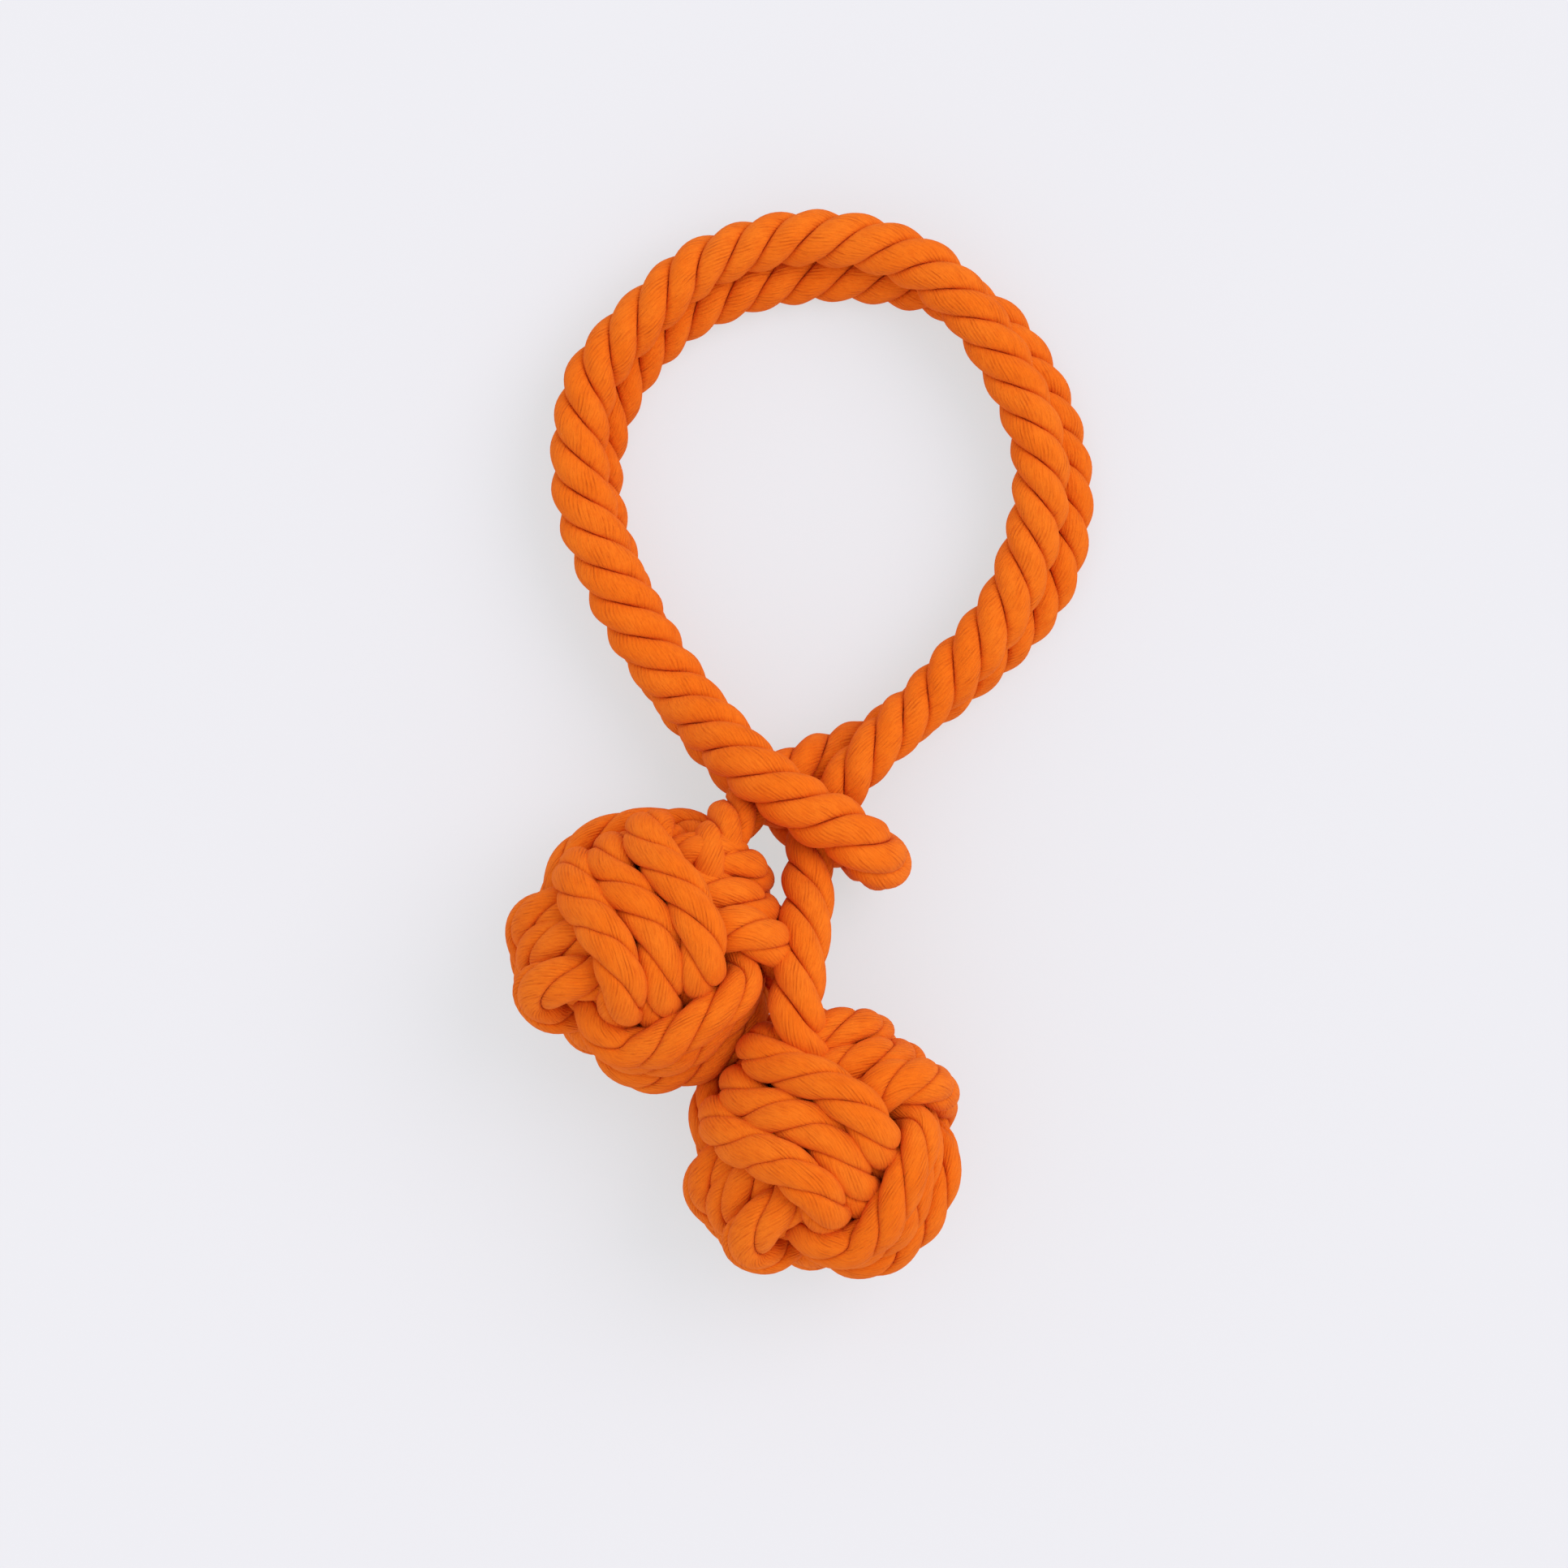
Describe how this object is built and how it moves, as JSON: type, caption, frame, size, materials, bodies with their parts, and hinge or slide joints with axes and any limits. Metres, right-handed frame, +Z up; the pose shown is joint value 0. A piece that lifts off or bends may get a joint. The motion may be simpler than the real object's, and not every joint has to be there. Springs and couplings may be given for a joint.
{
  "type": "rope throw toy",
  "caption": "Dog training throw toy of laid cotton rope, folded in half through its own eye to make a hand loop, with a monkey's fist ball on each end.",
  "frame": {"origin": "centre of the bounding box's footprint, on the surface the toy lies on", "axes": "+Y from the two fists to the top of the hand loop, +Z up from the surface, +X to the right seen from above with the loop at the top"},
  "size_m": [0.144, 0.265, 0.0661],
  "materials": {
    "orange_cotton_rope": "matt dyed laid cotton",
    "core_cotton": "matt packed cotton"
  },
  "bodies": {
    "loop_base": {"eye_bight": "orange_cotton_rope", "left_side_upper_rope": "orange_cotton_rope", "left_side_lower_rope": "orange_cotton_rope", "right_side_upper_rope": "orange_cotton_rope", "right_side_lower_rope": "orange_cotton_rope"},
    "loop_top": {"top_arc_upper_rope": "orange_cotton_rope", "top_arc_lower_rope": "orange_cotton_rope"},
    "left_leg": {"left_leg_rope": "orange_cotton_rope"},
    "left_fist": {"left_fist_neck": "orange_cotton_rope", "left_fist_lengthwise_turn_1": "orange_cotton_rope", "left_fist_lengthwise_turn_2": "orange_cotton_rope", "left_fist_lengthwise_turn_3": "orange_cotton_rope", "left_fist_girth_turn_1": "orange_cotton_rope", "left_fist_girth_turn_2": "orange_cotton_rope", "left_fist_girth_turn_3": "orange_cotton_rope", "left_fist_crosswise_turn_1": "orange_cotton_rope", "left_fist_crosswise_turn_2": "orange_cotton_rope", "left_fist_crosswise_turn_3": "orange_cotton_rope", "left_fist_core": "core_cotton"},
    "right_leg": {"right_leg_rope": "orange_cotton_rope"},
    "right_fist": {"right_fist_neck": "orange_cotton_rope", "right_fist_lengthwise_turn_1": "orange_cotton_rope", "right_fist_lengthwise_turn_2": "orange_cotton_rope", "right_fist_lengthwise_turn_3": "orange_cotton_rope", "right_fist_girth_turn_1": "orange_cotton_rope", "right_fist_girth_turn_2": "orange_cotton_rope", "right_fist_girth_turn_3": "orange_cotton_rope", "right_fist_crosswise_turn_1": "orange_cotton_rope", "right_fist_crosswise_turn_2": "orange_cotton_rope", "right_fist_crosswise_turn_3": "orange_cotton_rope", "right_fist_core": "core_cotton"}
  },
  "joints": [
    {"name": "loop_fold", "type": "hinge", "parent": "loop_base", "child": "loop_top", "pos_m": [0, 0.0665, 0.0259], "axis": [1, 0, 0], "range_deg": [0, 60]},
    {"name": "left_swing", "type": "hinge", "parent": "loop_base", "child": "left_leg", "pos_m": [-0.0101, -0.0038, 0.0222], "axis": [0, 0, -1], "range_deg": [0, 15]},
    {"name": "left_nod", "type": "hinge", "parent": "left_leg", "child": "left_fist", "pos_m": [-0.015, -0.011, 0.026], "axis": [-0.7659, -0.6429, 0], "range_deg": [0, 12]},
    {"name": "right_swing", "type": "hinge", "parent": "loop_base", "child": "right_leg", "pos_m": [0.0099, -0.023, 0.0239], "axis": [0, 0, 1], "range_deg": [0, 25]},
    {"name": "right_nod", "type": "hinge", "parent": "right_leg", "child": "right_fist", "pos_m": [0.0021, -0.0406, 0.0454], "axis": [-0.9971, -0.076, 0], "range_deg": [0, 25]}
  ]
}
